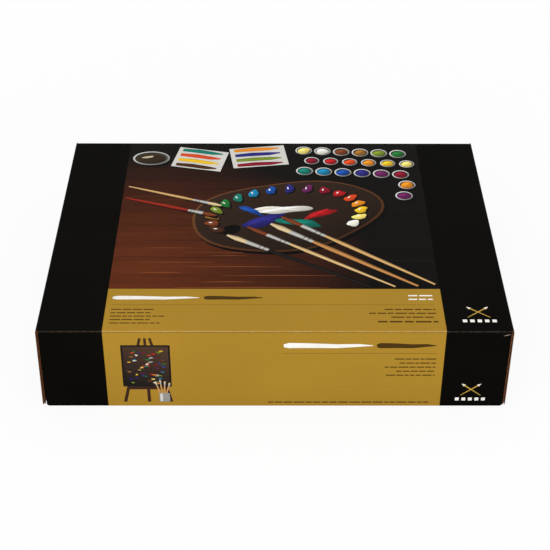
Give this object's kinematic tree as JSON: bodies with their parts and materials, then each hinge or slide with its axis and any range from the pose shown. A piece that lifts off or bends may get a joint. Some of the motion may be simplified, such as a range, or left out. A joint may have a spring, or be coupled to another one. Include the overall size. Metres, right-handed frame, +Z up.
{
  "type": "paint set box",
  "caption": "Oil paint set in a printed fold-over carton: a hinged wooden chest with paint tubes, bottles, brushes, palette knives, cups and a palette",
  "frame": {"origin": "centre of the carton's flat underside", "axes": "+X right along the longest side, +Y from the front to the hinged back, +Z up"},
  "size_m": [0.4816, 0.364, 0.1],
  "materials": {
    "carton_board": "corrugated board, printed black and gold outside, bare kraft inside",
    "chest_wood": "dark stained, satin",
    "palette_wood": "thin plywood, satin varnish",
    "handle_wood": "clear lacquer",
    "brass": "plated, satin",
    "steel": "brushed",
    "tinplate": "bright tinplate",
    "aluminium": "satin",
    "tube_metal": "soft tube metal with a paper label band",
    "cap_plastic": "moulded, ribbed",
    "glass": "clear, smooth",
    "medium": "clear amber liquid medium, drawn as a solid",
    "bristle": "hog bristle"
  },
  "bodies": {
    "tray": {"bottles_caps": "cap_plastic", "bottles_glass": "glass", "bottles_medium": "medium", "brush_bristles": "bristle", "brush_ferrules": "aluminium", "brush_handles": "handle_wood", "carton_back_panel": "carton_board", "carton_bottom_panel": "carton_board", "carton_corner_tabs": "carton_board", "carton_tray_front_wall": "carton_board", "carton_tray_left_wall": "carton_board", "carton_tray_right_wall": "carton_board", "chest_back_wall": "chest_wood", "chest_cross_dividers": "chest_wood", "chest_floor": "chest_wood", "chest_front_wall": "chest_wood", "chest_left_wall": "chest_wood", "chest_long_dividers": "chest_wood", "chest_right_wall": "chest_wood", "hinge_chest_leaves": "brass", "hinge_chest_screws": "brass", "hinge_pins": "steel", "knife_blades": "steel", "knife_handles": "handle_wood", "knife_shanks": "steel", "latch_pins": "steel", "latch_plates": "brass", "latch_screws": "brass", "palette_cup_clip": "tinplate", "palette_cups": "tinplate", "tube_giant_bodies": "tube_metal", "tube_giant_caps": "cap_plastic", "tubes_large_bodies": "tube_metal", "tubes_large_caps": "cap_plastic", "tubes_medium_bodies": "tube_metal", "tubes_medium_caps": "cap_plastic", "tubes_small_bodies": "tube_metal", "tubes_small_caps": "cap_plastic"},
    "carton_lid": {"carton_top_panel": "carton_board"},
    "chest_lid": {"chest_lid_panel": "chest_wood", "hinge_lid_leaves": "brass", "hinge_lid_screws": "brass", "latch_strikes": "brass", "palette": "palette_wood", "button_posts": "brass"},
    "front_flap": {"carton_front_flap": "carton_board"},
    "left_flap": {"carton_left_flap": "carton_board"},
    "right_flap": {"carton_right_flap": "carton_board"},
    "latch_left": {"latch_lever_left": "brass"},
    "latch_right": {"latch_lever_right": "brass"},
    "button_back_left": {"turn_button_back_left": "brass"},
    "button_back_right": {"turn_button_back_right": "brass"},
    "button_front_left": {"turn_button_front_left": "brass"},
    "button_front_right": {"turn_button_front_right": "brass"}
  },
  "joints": [
    {"name": "carton_lid_open", "type": "hinge", "parent": "tray", "child": "carton_lid", "pos_m": [0, 0.182, 0.1], "axis": [-1, 0, 0], "range_deg": [0, 115]},
    {"name": "front_flap_open", "type": "hinge", "parent": "carton_lid", "child": "front_flap", "pos_m": [0, -0.182, 0.1], "axis": [-1, 0, 0], "range_deg": [0, 170]},
    {"name": "left_flap_open", "type": "hinge", "parent": "carton_lid", "child": "left_flap", "pos_m": [-0.24, 0, 0.1], "axis": [0, 1, 0], "range_deg": [0, 170]},
    {"name": "right_flap_open", "type": "hinge", "parent": "carton_lid", "child": "right_flap", "pos_m": [0.24, 0, 0.1], "axis": [0, -1, 0], "range_deg": [0, 170]},
    {"name": "chest_lid_open", "type": "hinge", "parent": "tray", "child": "chest_lid", "pos_m": [0, 0.1695, 0.0855], "axis": [-1, 0, 0], "range_deg": [0, 92]},
    {"name": "latch_left_open", "type": "hinge", "parent": "tray", "child": "latch_left", "pos_m": [-0.145, -0.1741, 0.0735], "axis": [1, 0, 0], "range_deg": [0, 115]},
    {"name": "latch_right_open", "type": "hinge", "parent": "tray", "child": "latch_right", "pos_m": [0.145, -0.1741, 0.0735], "axis": [1, 0, 0], "range_deg": [0, 115]},
    {"name": "button_front_left_turn", "type": "hinge", "parent": "chest_lid", "child": "button_front_left", "pos_m": [-0.12, -0.1422, 0.0808], "axis": [0, 0, -1], "range_deg": [0, 90]},
    {"name": "button_front_right_turn", "type": "hinge", "parent": "chest_lid", "child": "button_front_right", "pos_m": [0.12, -0.1422, 0.0808], "axis": [0, 0, 1], "range_deg": [0, 90]},
    {"name": "button_back_left_turn", "type": "hinge", "parent": "chest_lid", "child": "button_back_left", "pos_m": [-0.12, 0.1382, 0.0808], "axis": [0, 0, 1], "range_deg": [0, 90]},
    {"name": "button_back_right_turn", "type": "hinge", "parent": "chest_lid", "child": "button_back_right", "pos_m": [0.12, 0.1382, 0.0808], "axis": [0, 0, -1], "range_deg": [0, 90]}
  ],
  "couplings": [
    {"joint": "chest_lid_open", "follows": "carton_lid_open", "ratio": 0.8},
    {"joint": "latch_left_open", "follows": "carton_lid_open", "ratio": 1},
    {"joint": "latch_right_open", "follows": "carton_lid_open", "ratio": 1}
  ]
}
